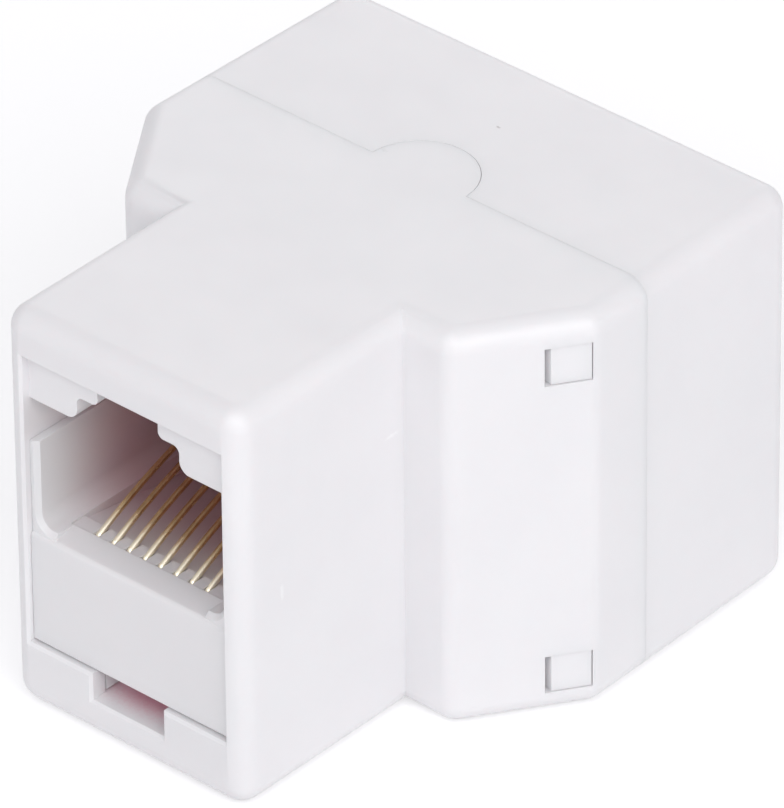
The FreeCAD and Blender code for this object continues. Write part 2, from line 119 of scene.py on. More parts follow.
class Tree:
    """The node tree of a material or of the world, with short calls for the nodes that the finishes use."""

    # Places of the colour sockets on a mix node, which has a set of sockets for each kind of value.
    FIRST_COLOUR = 6
    SECOND_COLOUR = 7
    MIXED_COLOUR = 2

    def __init__(self, holder: Union[bpy.types.Material, bpy.types.World]) -> None:
        """Clears the holder's tree and puts an output in it.

        Args:
            holder: New material or world.
        """
        kind = "World" if isinstance(holder, bpy.types.World) else "Material"
        holder.use_nodes = True
        self.holder = holder
        self.nodes = holder.node_tree.nodes
        self.links = holder.node_tree.links
        self.nodes.clear()
        self.output = self.nodes.new("ShaderNodeOutput" + kind)

    def add(self, kind: str, **values: object) -> bpy.types.Node:
        """Adds a node.

        Args:
            kind: Blender's type name of the node.
            **values: Settings of the node, by property name.

        Returns:
            The new node.
        """
        node = self.nodes.new(kind)
        for key, value in values.items():
            setattr(node, key, value)
        return node

    def feed(self, target: bpy.types.NodeSocket, source: NodeValue) -> None:
        """Links a socket, or sets its value where the source is a plain number or tuple.

        Args:
            target: Input socket.
            source: Output socket, number or tuple.
        """
        if isinstance(source, bpy.types.NodeSocket):
            self.links.new(source, target)
        else:
            target.default_value = source

    def coordinates(
        self, scale: Point = (1.0, 1.0, 1.0), centre: Point = (0.0, 0.0, 0.0)
    ) -> bpy.types.NodeSocket:
        """Object coordinates, centred on a point and then stretched.

        Args:
            scale: Factor for each axis.
            centre: Point that becomes the origin, in metres.

        Returns:
            The vector socket.
        """
        place = self.add("ShaderNodeTexCoord")
        shift = self.add("ShaderNodeVectorMath", operation="SUBTRACT")
        self.feed(shift.inputs[0], place.outputs["Object"])
        self.feed(shift.inputs[1], centre)
        stretch = self.add("ShaderNodeVectorMath", operation="MULTIPLY")
        self.feed(stretch.inputs[0], shift.outputs[0])
        self.feed(stretch.inputs[1], scale)
        return stretch.outputs[0]

    def axes(self, scale: float) -> tuple[bpy.types.NodeSocket, ...]:
        """The three object coordinates apart.

        Args:
            scale: Factor for all three, such as 1000 for millimetres.

        Returns:
            The sockets of x, y and z.
        """
        split = self.add("ShaderNodeSeparateXYZ")
        self.feed(split.inputs[0], self.coordinates((scale, scale, scale)))
        return tuple(split.outputs)

    def depth(self, y: bpy.types.NodeSocket) -> bpy.types.NodeSocket:
        """The depth behind the nearer end face, which is the half length less |y|, all in millimetres."""
        return self.math("SUBTRACT", HALF_LENGTH, self.math("ABSOLUTE", y))

    def noise(self, pattern: Noise, vector: Optional[bpy.types.NodeSocket] = None) -> bpy.types.NodeSocket:
        """The plain value of a noise pattern, between 0 and 1.

        Args:
            pattern: Noise pattern.
            vector: Vector socket that it reads, or None for the plain object coordinates.

        Returns:
            The value socket.
        """
        node = self.add("ShaderNodeTexNoise")
        self.feed(node.inputs["Scale"], pattern.scale)
        self.feed(node.inputs["Detail"], pattern.detail)
        self.feed(node.inputs["Roughness"], pattern.roughness)
        self.feed(node.inputs["Vector"], self.coordinates() if vector is None else vector)
        return node.outputs["Fac"]

    def math(self, operation: str, first: NodeValue, second: NodeValue = 0.0) -> bpy.types.NodeSocket:
        """Arithmetic on two values.

        Args:
            operation: Blender's name of the operation.
            first: First value or socket.
            second: Second value or socket.

        Returns:
            The result socket.
        """
        node = self.add("ShaderNodeMath", operation=operation)
        self.feed(node.inputs[0], first)
        self.feed(node.inputs[1], second)
        return node.outputs[0]

    def spread(self, value: NodeValue, ends: Span, results: Span = (0.0, 1.0)) -> bpy.types.NodeSocket:
        """Maps a value smoothly from one range to another, held at both ends.

        Args:
            value: Value socket.
            ends: Start and end of the range.
            results: Result at the start and at the end.

        Returns:
            The result socket.
        """
        node = self.add("ShaderNodeMapRange", interpolation_type="SMOOTHSTEP")
        self.feed(node.inputs[0], value)
        for index, number in enumerate((*ends, *results), start=1):
            self.feed(node.inputs[index], number)
        return node.outputs[0]

    def patches(self, pattern: Noise, results: Span = (0.0, 1.0)) -> bpy.types.NodeSocket:
        """A noise pattern, mapped smoothly between its own two ends."""
        return self.spread(self.noise(pattern), pattern.ends, results)

    def mix(self, amount: NodeValue, first: NodeValue, second: NodeValue) -> bpy.types.NodeSocket:
        """Mixes two colours.

        Args:
            amount: Share of the second colour.
            first: First colour or socket.
            second: Second colour or socket.

        Returns:
            The colour socket.
        """
        node = self.add("ShaderNodeMix", data_type="RGBA")
        self.feed(node.inputs[0], amount)
        for place, colour in ((self.FIRST_COLOUR, first), (self.SECOND_COLOUR, second)):
            self.feed(node.inputs[place], (*colour, 1.0) if isinstance(colour, tuple) else colour)
        return node.outputs[self.MIXED_COLOUR]

    def bump(
        self, height: bpy.types.NodeSocket, relief: Relief, before: Optional[bpy.types.NodeSocket] = None
    ) -> bpy.types.NodeSocket:
        """A normal bent by a height.

        Args:
            height: Height socket between 0 and 1.
            relief: Depth of the full height, and its strength.
            before: Normal that it builds on, or None.

        Returns:
            The normal socket.
        """
        node = self.add("ShaderNodeBump")
        self.feed(node.inputs["Strength"], relief.strength)
        self.feed(node.inputs["Distance"], relief.depth * MM)
        self.feed(node.inputs["Height"], height)
        if before is not None:
            self.feed(node.inputs["Normal"], before)
        return node.outputs[0]

    def surface(self, **values: NodeValue) -> None:
        """Adds the main shader and joins it to the output.

        Args:
            **values: Values or sockets by input name, with underscores for spaces.
        """
        shader = self.add("ShaderNodeBsdfPrincipled")
        for key, value in values.items():
            self.feed(shader.inputs[key.replace("_", " ")], value)
        self.feed(self.output.inputs["Surface"], shader.outputs[0])

    def either(self, share: NodeValue, first: bpy.types.Node, second: bpy.types.Node) -> None:
        """Mixes two shaders and joins them to the output.

        Args:
            share: Share of the second shader.
            first: First shader.
            second: Second shader.
        """
        mixed = self.add("ShaderNodeMixShader")
        self.feed(mixed.inputs[0], share)
        self.feed(mixed.inputs[1], first.outputs[0])
        self.feed(mixed.inputs[2], second.outputs[0])
        self.feed(self.output.inputs["Surface"], mixed.outputs[0])

    def seen(self, path: bpy.types.Node) -> bpy.types.NodeSocket:
        """1 where a point is seen, straight, mirrored or through glass, and 0 where it only gives light.

        Args:
            path: Light Path node.

        Returns:
            The value socket.
        """
        mirrored = self.math("MAXIMUM", path.outputs["Is Glossy Ray"], path.outputs["Is Transmission Ray"])
        return self.math("MAXIMUM", path.outputs["Is Camera Ray"], mirrored)


@dataclass(frozen=True)
class SurfaceMark:
    """A small mark on a surface, such as a speck, a scuff or a patch of painted shade, shaped as a soft
    ellipsoid.

    Attributes:
        place: Middle of the mark.
        reach: Distance from the middle to the rim along each axis.
        colour: Colour of the mark.
        strength: Share of that colour in the middle.
        rag: How far noise moves the rim in and out, as a share of the reach.
        core: Share of the reach that has the full strength.
        grain: Noise that breaks the rim.
    """

    place: Point
    reach: Point
    colour: Colour
    strength: float
    rag: float = 0.35
    core: float = 0.25
    grain: Noise = Noise(6000.0, ends=(0.2, 0.8))

    def lay(self, tree: Tree, colour: bpy.types.NodeSocket) -> bpy.types.NodeSocket:
        """Lays the mark over a colour. Its share falls smoothly from the core to the rim, broken by noise.

        Args:
            tree: Node tree of the finish.
            colour: Colour underneath.

        Returns:
            The colour with the mark on it.
        """
        scale = tuple(1.0 / (size * MM) for size in self.reach)
        local = tree.coordinates(scale, tuple(value * MM for value in self.place))
        distance = tree.add("ShaderNodeVectorMath", operation="LENGTH")
        tree.feed(distance.inputs[0], local)
        moved = tree.patches(self.grain, (-self.rag, self.rag))
        ragged = tree.math("ADD", distance.outputs["Value"], moved)
        share = tree.spread(ragged, (self.core, 1.0), (self.strength, 0.0))
        return tree.mix(share, colour, self.colour)


@dataclass(frozen=True)
class PaintedSocketShade:
    """Painted shade inside a socket: a warm, darker tone painted into the colour, for the shade and the warm
    light that has passed through and between white walls.

    Attributes:
        half_width: Half width of the block that holds the sockets.
        low: Height of the block's underside.
        high: Height of the block's top.
        start: Depth at which the painted shade begins.
        end: Depth at which it is full.
        reach: Depth at which the sockets end, and the painted shade with them.
        colour: Colour painted where the painted shade is full.
    """

    half_width: float
    low: float = 2.1
    high: float = 20.5
    start: float = 1.0
    end: float = 7.5
    reach: float = 13.0
    colour: Colour = (0.56, 0.37, 0.40)

    def lay(self, tree: Tree, colour: bpy.types.NodeSocket) -> bpy.types.NodeSocket:
        """Paints a warm shade into a colour by depth behind the nearer end face, within the block that holds
        the sockets.

        The share rises smoothly from the start to the end depth and is nothing beyond the reach.

        Args:
            tree: Node tree of the finish.
            colour: Colour underneath.

        Returns:
            The colour with the painted shade.
        """
        x, y, z = tree.axes(1.0 / MM)
        across = tree.math("LESS_THAN", tree.math("ABSOLUTE", x), self.half_width)
        above = tree.math("GREATER_THAN", z, self.low)
        below = tree.math("LESS_THAN", z, self.high)
        inside = tree.math("MULTIPLY", across, tree.math("MULTIPLY", above, below))
        depth = tree.depth(y)
        within = tree.math("MULTIPLY", inside, tree.math("LESS_THAN", depth, self.reach))
        # Painted shade: the warm, darker colour is mixed in by depth.
        share = tree.math("MULTIPLY", within, tree.spread(depth, (self.start, self.end)))
        return tree.mix(share, colour, self.colour)


@dataclass(frozen=True)
class MouldedPlastic:
    """White moulded plastic: half gloss, slightly cloudy in tone, with light passing through thin walls.

    Attributes:
        name: Name of the material.
        colour: Main tone.
        cloud_colour: Tone of the clouds.
        roughness: Lowest and highest roughness.
        painted_socket_shade: Painted warm shade inside the sockets.
        marks: Marks on the surface.
        refraction: Refractive index.
        glow: Share of the light that passes under the surface.
        glow_reach: How far red, green and blue light pass, in millimetres.
        clouds: Noise of the two tones.
        wander: Noise of the gloss.
        waves: Noise of the slow waves of the mould.
        wave_relief: Their depth.
        grain: Noise of the spark-eroded grain.
        grain_relief: Its depth.
    """

    name: str
    colour: Colour
    cloud_colour: Colour
    roughness: Span
    painted_socket_shade: PaintedSocketShade
    marks: tuple[SurfaceMark, ...] = ()
    refraction: float = 1.5
    glow: float = 0.2
    glow_reach: Point = (1.6, 1.2, 1.2)
    clouds: Noise = Noise(160.0, 3.0, 0.55, (0.3, 0.75))
    wander: Noise = Noise(420.0, 4.0, 0.6, (0.25, 0.8))
    waves: Noise = Noise(110.0, 1.0, 0.4)
    wave_relief: Relief = Relief(0.04, 0.6)
    grain: Noise = Noise(9000.0, 3.0, 0.6)
    grain_relief: Relief = Relief(0.0012, 0.5)

    def build(self) -> bpy.types.Material:
        """Clouds of two close tones, wandering gloss, slow waves of the mould and a fine spark-eroded grain.

        Returns:
            The material.
        """
        tree = Tree(bpy.data.materials.new(self.name))
        colour = tree.mix(tree.patches(self.clouds), self.colour, self.cloud_colour)
        # Painted shade: a warm, darker tone painted into the colour deep inside the sockets.
        colour = self.painted_socket_shade.lay(tree, colour)
        for mark in self.marks:
            colour = mark.lay(tree, colour)
        waves = tree.bump(tree.noise(self.waves), self.wave_relief)
        tree.surface(
            Base_Color=colour,
            Roughness=tree.patches(self.wander, self.roughness),
            IOR=self.refraction,
            Subsurface_Weight=self.glow,
            Subsurface_Radius=tuple(reach * MM for reach in self.glow_reach),
            Subsurface_Scale=1.0,
            Normal=tree.bump(tree.noise(self.grain), self.grain_relief, waves),
        )
        return tree.holder


@dataclass(frozen=True)
class GoldPlate:
    """Thin gold over drawn spring wire, with draw lines, browner patches and a painted highlight on the
    fronts.

    Attributes:
        name: Name of the material.
        colour: Plain gold.
        worn_colour: Colour of the browner patches.
        painted_highlight_colour: Colour of the painted highlight on the fronts.
        painted_highlight_to: Depth behind the end face down to which the painted highlight is full.
        plain_from: Depth from which it is plain.
        roughness: Lowest and highest roughness of the draw lines.
        painted_highlight_roughness: What the full painted highlight adds to the roughness.
        patches: Noise of the browner patches.
        patch_share: Share of their colour where they are strongest.
        streaks: Noise of the draw lines.
        squeeze: Factor for each axis, which draws the noise out into lines.
        streak_relief: Depth of the draw lines.
    """

    name: str = "gold_plate"
    colour: Colour = (0.98, 0.75, 0.39)
    worn_colour: Colour = (0.70, 0.47, 0.23)
    painted_highlight_colour: Colour = (1.0, 0.93, 0.75)
    painted_highlight_to: float = 2.3
    plain_from: float = 4.2
    roughness: Span = (0.14, 0.3)
    painted_highlight_roughness: float = 0.22
    patches: Noise = Noise(900.0, 3.0, 0.6, (0.42, 0.72))
    patch_share: float = 0.7
    streaks: Noise = Noise(26000.0, 3.0, 0.6, (0.2, 0.8))
    squeeze: Point = (1.0, 0.06, 0.15)
    streak_relief: Relief = Relief(0.0015, 0.5)

    def build(self) -> bpy.types.Material:
        """Long streaks follow the wire, because the pattern is squeezed along Y and Z.

        The painted highlight fades smoothly with the depth behind the end face.

        Returns:
            The material.
        """
        tree = Tree(bpy.data.materials.new(self.name))
        streaks = tree.noise(self.streaks, tree.coordinates(self.squeeze))
        _, y, _ = tree.axes(1.0 / MM)
        # Painted highlight: a pale tone on the wire's fronts, fading with the depth behind the end face.
        painted_highlight = tree.spread(tree.depth(y), (self.painted_highlight_to, self.plain_from), (1.0, 0.0))
        plain = tree.mix(tree.patches(self.patches, (0.0, self.patch_share)), self.colour, self.worn_colour)
        drawn = tree.spread(streaks, self.streaks.ends, self.roughness)
        tree.surface(
            Base_Color=tree.mix(painted_highlight, plain, self.painted_highlight_colour),
            Metallic=1.0,
            Roughness=tree.math("ADD", drawn, tree.math("MULTIPLY", painted_highlight, self.painted_highlight_roughness)),
            Normal=tree.bump(streaks, self.streak_relief),
        )
        return tree.holder


@dataclass(frozen=True)
class BoardLaminate:
    """Glass-fibre board under a green coat, with the weave showing faintly through it.

    Attributes:
        name: Name of the material.
        colour: Colour between the threads.
        thread_colour: Colour over the threads.
        threads: Turn of the bands' sine in a metre, in radians.
        weave_relief: Height of the threads.
        gloss: Noise of the coat's gloss.
        roughness: Lowest and highest roughness.
    """

    name: str = "board_coat"
    colour: Colour = (0.020, 0.105, 0.045)
    thread_colour: Colour = (0.040, 0.160, 0.070)
    threads: float = 9000.0
    weave_relief: Relief = Relief(0.004, 0.4)
    gloss: Noise = Noise(700.0, ends=(0.3, 0.7))
    roughness: Span = (0.28, 0.4)

    def build(self) -> bpy.types.Material:
        """Two crossed sets of sine bands stand for the threads.

        The weave is their sum, which runs from -2 to 2, mapped smoothly to 0 to 1.

        Returns:
            The material.
        """
        tree = Tree(bpy.data.materials.new(self.name))
        x, _, z = tree.axes(self.threads)
        bands = tree.math("ADD", tree.math("SINE", x), tree.math("SINE", z))
        weave = tree.spread(bands, (-2.0, 2.0))
        tree.surface(
            Base_Color=tree.mix(weave, self.colour, self.thread_colour),
            Roughness=tree.patches(self.gloss, self.roughness),
            Normal=tree.bump(weave, self.weave_relief),
        )
        return tree.holder


@dataclass(frozen=True)
class Solder:
    """Bright soft metal, dulled in patches.

    Attributes:
        name: Name of the material.
        colour: Bright grey.
        dull_colour: Grey of the dull patches.
        patches: Noise of the patches.
        roughness: Roughness of the bright and of the dull patches.
        relief: Depth of the crystal bump.
    """

    name: str = "solder"
    colour: Colour = (0.70, 0.70, 0.69)
    dull_colour: Colour = (0.48, 0.48, 0.47)
    patches: Noise = Noise(3500.0, 4.0, 0.6, (0.3, 0.7))
    roughness: Span = (0.22, 0.42)
    relief: Relief = Relief(0.004, 0.5)

    def build(self) -> bpy.types.Material:
        """Patches of two greys with a fine crystal bump.

        Returns:
            The material.
        """
        tree = Tree(bpy.data.materials.new(self.name))
        patches = tree.noise(self.patches)
        tree.surface(
            Base_Color=tree.mix(patches, self.colour, self.dull_colour),
            Metallic=1.0,
            Roughness=tree.spread(patches, self.patches.ends, self.roughness),
            Normal=tree.bump(patches, self.relief),
        )
        return tree.holder


@dataclass(frozen=True)
class StudioPaper:
    """The pale floor, which takes the object's shadow.

    Attributes:
        name: Name of the material.
        colour: Colour of the paper.
        fibres: Noise of the fibres.
        fibre_shade: Brightness of the darker fibres, as a share of the colour.
        lift: Light that the paper adds where it is seen.
        contact: Rays shorter than this pass through it, in millimetres.
    """

    name: str = "studio_paper"
    colour: Colour = (0.93, 0.93, 0.935)
    fibres: Noise = Noise(900.0, 4.0, 0.6)
    fibre_shade: float = 0.99
    lift: float = 0.27
    contact: float = 0.5

    def build(self) -> bpy.types.Material:
        """Diffuse paper, lifted a little where it is seen, and clear from below.

        Rays that are shorter than the contact distance pass too, so the object's underside isn't black when
        it is looked at from below.

        Returns:
            The material.
        """
        tree = Tree(bpy.data.materials.new(self.name))
        darker = tuple(value * self.fibre_shade for value in self.colour)
        paper = tree.add("ShaderNodeBsdfDiffuse")
        tree.feed(paper.inputs["Color"], tree.mix(tree.noise(self.fibres), self.colour, darker))
        path = tree.add("ShaderNodeLightPath")
        glow = tree.add("ShaderNodeEmission")
        tree.feed(glow.inputs["Strength"], tree.math("MULTIPLY", tree.seen(path), self.lift))
        lifted = tree.add("ShaderNodeAddShader")
        tree.feed(lifted.inputs[0], paper.outputs[0])
        tree.feed(lifted.inputs[1], glow.outputs[0])
        below = tree.add("ShaderNodeNewGeometry").outputs["Backfacing"]
        near = tree.math("LESS_THAN", path.outputs["Ray Length"], self.contact * MM)
        tree.either(tree.math("MAXIMUM", below, near), lifted, tree.add("ShaderNodeBsdfTransparent"))
        return tree.holder


def new_object(name: str, vertices: np.ndarray, faces: Sequence[Sequence[int]]) -> bpy.types.Object:
    """Makes an object at the origin from vertices and faces.

    Args:
        name: Name of the object.
        vertices: Array of points, in metres.
        faces: Vertex numbers of each face.

    Returns:
        The new object, linked to the scene.
    """
    mesh = bpy.data.meshes.new(name)
    mesh.from_pydata(vertices.tolist(), [], [list(face) for face in faces])
    mesh.validate()
    mesh.update()
    made = bpy.data.objects.new(name, mesh)
    bpy.context.scene.collection.objects.link(made)
    return made


def tube_faces(rings: int, count: int, start: int = 0) -> list[list[int]]:
    """The faces of a closed tube: quads from ring to ring, and one flat face over each end.

    Point p of ring r has the number start + r * count + p. A quad joins a point and the next one round with
    the same two points of the next ring.

    Args:
        rings: Number of rings.
        count: Number of points in a ring.
        start: Number of the tube's first point.

    Returns:
        Vertex numbers of each face.
    """
    ring, place = np.meshgrid(np.arange(rings - 1), np.arange(count), indexing="ij")
    here = start + ring * count + place
    beside = start + ring * count + (place + 1) % count
    quads = np.stack([here, here + count, beside + count, beside], 2).reshape(-1, 4)
    first = start + np.arange(count)
    last = first + (rings - 1) * count
    return quads.tolist() + [first.tolist(), last[::-1].tolist()]


def shade(piece: bpy.types.Object, angle: float = CRISP_ANGLE) -> None:
    """Shades a mesh smooth, with edges sharper than the angle kept crisp.

    Args:
        piece: Mesh object.
        angle: Angle in degrees.
    """
    piece.data.polygons.foreach_set("use_smooth", np.ones(len(piece.data.polygons), dtype=bool))
    piece.data.set_sharp_from_angle(angle=math.radians(angle))
    piece.data.update()


def welded_copy(
    node: bpy.types.Object, name: str, grid: float = 1e-7, flat: float = 0.2
) -> bpy.types.Object:
    """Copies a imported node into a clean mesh: corners at one place joined, flat triangles merged.

    Each corner is rounded to the grid, and equal corners become one vertex.

    Args:
        node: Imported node, which stays as it is.
        name: Name of the copy.
        grid: Step of the rounding, in metres.
        flat: Faces that meet at less than this many degrees are merged.

    Returns:
        The copy.
    """
    mesh = node.data
    mesh.calc_loop_triangles()
    points = np.zeros(len(mesh.vertices) * 3)
    mesh.vertices.foreach_get("co", points)
    corners = np.zeros(len(mesh.loop_triangles) * 3, dtype=np.int64)
    mesh.loop_triangles.foreach_get("vertices", corners)
    keys = np.round(points.reshape(-1, 3) / grid).astype(np.int64)
    unique, inverse = np.unique(keys, axis=0, return_inverse=True)
    triangles = inverse.reshape(-1)[corners].reshape(-1, 3)
    distinct = (triangles != np.roll(triangles, 1, axis=1)).all(axis=1)
    copy = new_object(name, unique * grid, triangles[distinct])
    work = bmesh.new()
    work.from_mesh(copy.data)
    bmesh.ops.dissolve_limit(work, angle_limit=math.radians(flat), verts=work.verts, edges=work.edges)
    work.to_mesh(copy.data)
    work.free()
    return copy


def soften_edges(piece: bpy.types.Object, width: float, segments: int = 2) -> None:
    """Rounds the crisp edges of a piece and weights its normals by area.

    Args:
        piece: Mesh object.
        width: Width of the rounding, in millimetres.
        segments: Number of faces across the rounding.
    """
    bevel = piece.modifiers.new("edge_break", "BEVEL")
    bevel.width = width * MM
    bevel.segments = segments
    bevel.limit_method = "ANGLE"
    bevel.angle_limit = math.radians(CRISP_ANGLE)
    bevel.use_clamp_overlap = False
    weights = piece.modifiers.new("weighted_normals", "WEIGHTED_NORMAL")
    weights.keep_sharp = True


@dataclass
class CasePart:
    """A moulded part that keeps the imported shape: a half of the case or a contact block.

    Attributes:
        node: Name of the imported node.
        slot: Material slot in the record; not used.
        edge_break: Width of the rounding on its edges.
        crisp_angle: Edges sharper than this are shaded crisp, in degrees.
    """

    node: str
    slot: str
    edge_break: float = 0.014
    crisp_angle: float = 32.0

    def build(self, nodes: dict[str, bpy.types.Object], material: bpy.types.Material) -> bpy.types.Object:
        """Copies, smooths and dresses the part.

        Args:
            nodes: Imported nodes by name.
            material: Finish of the part.

        Returns:
            The dressed piece.
        """
        piece = welded_copy(nodes[self.node], self.node + "_skin")
        shade(piece, self.crisp_angle)
        soften_edges(piece, self.edge_break)
        piece.data.materials.append(material)
        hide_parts(self.node)
        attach(piece, "root")
        return piece


@dataclass
class SpringWire:
    """One spring wire of a socket: solder tail, joggle, sloping lower run, bend at the comb, bowed spring.

    Places y are measured inwards from the socket's face, and heights z from the underside of the case.

    Attributes:
        width: Width of the wire.
        thickness: Thickness of the wire.
        corner: Radius of its rounded corners.
        tail_end: Place of the tail's end.
        joggle_front: Place of the joggle's front end.
        joggle_length: Length of the joggle.
        run_slope: Slope of the lower run, in degrees.
        nose_y: Place of the middle of the bend at the comb.
        nose_z: Height of that middle.
        nose_radius: Outer radius of that bend.
        spring_angle: Slope of the spring where it leaves the bend, in degrees.
        spring_bend: Turn of the spring along its length, in degrees.
        spring_tip: Place of the spring's tip.
        steps: Points along the joggle, and half the points along each arc.
        tail_points: Points along the tail.
        run_points: Points along the lower run.
        corner_points: Points round each corner of the section.
        end_insets: Distances of the rings from an end, as shares of the corner radius.
    """

    width: float = 0.30
    thickness: float = 0.30
    corner: float = 0.12
    tail_end: float = 17.95
    joggle_front: float = 12.80
    joggle_length: float = 1.2
    run_slope: float = 8.0
    nose_y: float = 2.41
    nose_z: float = 9.95
    nose_radius: float = 0.50
    spring_angle: float = 28.0
    spring_bend: float = 18.0
    spring_tip: float = 12.85
    steps: int = 14
    tail_points: int = 3
    run_points: int = 6
    corner_points: int = 4
    end_insets: tuple[float, ...] = (0.0, 0.25, 0.6, 1.0)

    def path(self, row: float) -> np.ndarray:
        """The middle line in the side view: straight runs, then an arc round the nose and a wide arc.

        The nose arc has points centre + r (-sin a, cos a), with a falling from 180 degrees less the slope of
        the lower run to the spring angle. The spring has points bow centre + R (-sin b, cos b), with b
        falling from the spring angle by the bend.

        Args:
            row: Height of the solder tail, in millimetres.

        Returns:
            Points (y, z) from the tail to the tip.
        """
        bend = self.nose_radius - self.thickness / 2
        lead = math.pi - math.radians(self.run_slope)
        slope = math.radians(self.spring_angle)
        sweep = math.radians(self.spring_bend)
        reach = self.spring_tip - self.nose_y
        bow = reach / math.cos(slope - sweep / 2) / sweep
        turn = np.linspace(lead, slope, 2 * self.steps)
        centre = np.array([self.nose_y, self.nose_z])
        nose = centre + bend * np.stack([-np.sin(turn), np.cos(turn)], 1)
        level = nose[0, 1] - (self.joggle_front - nose[0, 0]) * math.tan(math.radians(self.run_slope))
        tail_front = (self.joggle_front + self.joggle_length, row)
        tail = np.linspace((self.tail_end, row), tail_front, self.tail_points)
        run = np.linspace((self.joggle_front, level), nose[0], self.run_points)[1:-1]
        swing = np.linspace(slope, slope - sweep, 2 * self.steps)[1:]
        bow_centre = centre + (bend - bow) * np.array([-math.sin(slope), math.cos(slope)])
        spring = bow_centre + bow * np.stack([-np.sin(swing), np.cos(swing)], 1)
        return np.concatenate([tail[:-1], self.joggle(row, level), run, nose, spring])

    def joggle(self, row: float, level: float) -> np.ndarray:
        """The S between the tail and the lower run, whose height follows the smooth step 3 s^2 - 2 s^3.

        Args:
            row: Height of the solder tail, in millimetres.
            level: Height of the back end of the lower run.

        Returns:
            Points (y, z) from the tail to the run.
        """
        share = np.linspace(0.0, 1.0, self.steps)
        height = share * share * (3.0 - 2.0 * share)
        y = self.joggle_front + self.joggle_length * (1.0 - share)
        return np.stack([y, row + (level - row) * height], 1)

    def section(self) -> np.ndarray:
        """The wire's section, a rectangle with quarter circles at its corners.

        Returns:
            Points (across, outward), anticlockwise.
        """
        quarter = np.linspace(0.0, math.pi / 2, self.corner_points)
        starts = np.arange(4) * math.pi / 2
        turn = (starts[:, None] + quarter[None, :]).reshape(-1)
        across = np.repeat([1.0, -1.0, -1.0, 1.0], len(quarter)) * (self.width / 2 - self.corner)
        outward = np.repeat([1.0, 1.0, -1.0, -1.0], len(quarter)) * (self.thickness / 2 - self.corner)
        return np.stack([across + self.corner * np.cos(turn), outward + self.corner * np.sin(turn)], 1)

    def rounded_ends(self, path: np.ndarray) -> tuple[np.ndarray, np.ndarray]:
        """Adds rings close to both ends, where the section shrinks along a quarter circle.

        Args:
            path: Points (y, z) of the middle line.

        Returns:
            The longer path, and the size of the section at each of its points.
        """
        inset = np.array(self.end_insets) * self.corner
        shrunk = self.corner - np.sqrt(self.corner**2 - (self.corner - inset) ** 2)
        size = 1.0 - shrunk / (self.thickness / 2)
        first = (path[1] - path[0]) / np.linalg.norm(path[1] - path[0])
        last = (path[-2] - path[-1]) / np.linalg.norm(path[-2] - path[-1])
        head = path[0] + inset[:, None] * first
        foot = (path[-1] + inset[:, None] * last)[::-1]
        longer = np.concatenate([head, path[1:-1], foot])
        sizes = np.concatenate([size, np.ones(len(path) - 2), size[::-1]])
        return longer, sizes

    def surface(self, row: float) -> tuple[np.ndarray, list[list[int]]]:
        """Carries the section along the path, square to the mean of the two directions at each point.

        Args:
            row: Height of the solder tail, in millimetres.

        Returns:
            Vertices of the wire at x = 0, in millimetres, and its faces.
        """
        path, sizes = self.rounded_ends(self.path(row))
        steps = np.diff(path, axis=0)
        steps /= np.linalg.norm(steps, axis=1)[:, None]
        along = np.concatenate([steps[:1], steps[:-1] + steps[1:], steps[-1:]])
        along /= np.linalg.norm(along, axis=1)[:, None]
        side = np.stack([-along[:, 1], along[:, 0]], 1)
        section = self.section()
        across = section[None, :, 0] * sizes[:, None]
        outward = section[None, :, 1] * sizes[:, None]
        y = path[:, None, 0] + side[:, None, 0] * outward
        z = path[:, None, 1] + side[:, None, 1] * outward
        vertices = np.stack([across, y, z], 2).reshape(-1, 3)
        return vertices, tube_faces(len(path), len(section))


@dataclass
class ContactRow:
    """The eight wires of one socket, at the standard pitch.

    Attributes:
        socket: Socket that the wires are in.
        tail_heights: Heights of the two rows of solder tails, which the wires take in turn.
        wire: The wire.
        count: Number of wires.
        pitch: Distance from wire to wire.
        socket_offset: Distance of a rear socket's middle from the middle of the case.
    """

    socket: Socket
    tail_heights: Span
    wire: SpringWire = field(default_factory=SpringWire)
    count: int = 8
    pitch: float = 1.016
    socket_offset: float = 6.95

    def across(self) -> np.ndarray:
        """Places of the wires across the socket, in millimetres."""
        return (np.arange(self.count) - (self.count - 1) / 2) * self.pitch

    def middle(self) -> float:
        """Place of the socket's middle across the case, in millimetres."""
        return self.socket.side * self.socket_offset

    def placed(self, vertices: np.ndarray, x: float) -> np.ndarray:
        """Moves a wire to its place, turned with its socket.

        Args:
            vertices: Points of the wire at x = 0, in millimetres from the socket's face.
            x: Place across the socket.

        Returns:
            Points in metres in the frame of the part.
        """
        moved = vertices + np.array([x, -HALF_LENGTH, 0.0])
        turned = moved * np.array([self.socket.turn, self.socket.turn, 1.0])
        return (turned + np.array([self.middle(), 0.0, 0.0])) * MM

    def build(self, material: bpy.types.Material) -> list[bpy.types.Object]:
        """Builds and dresses the eight wires.

        Args:
            material: Finish of the wires.

        Returns:
            The wires.
        """
        wires = []
        for index, x in enumerate(self.across()):
            vertices, faces = self.wire.surface(self.tail_heights[index % 2])
            node = "%s_contact_%d" % (self.socket.value, index + 1)
            piece = new_object(node + "_wire", self.placed(vertices, x), faces)
            shade(piece)
            piece.data.materials.append(material)
            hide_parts(node)
            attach(piece, "root")
            wires.append(piece)
        return wires

    def tails(self) -> np.ndarray:
        """Works out where the solder tails are.

        Returns:
            Places (x, z) in the frame of the part, in millimetres.
        """
        heights = np.resize(np.array(self.tail_heights), self.count)
        return np.stack([self.middle() + self.socket.turn * self.across(), heights], 1)


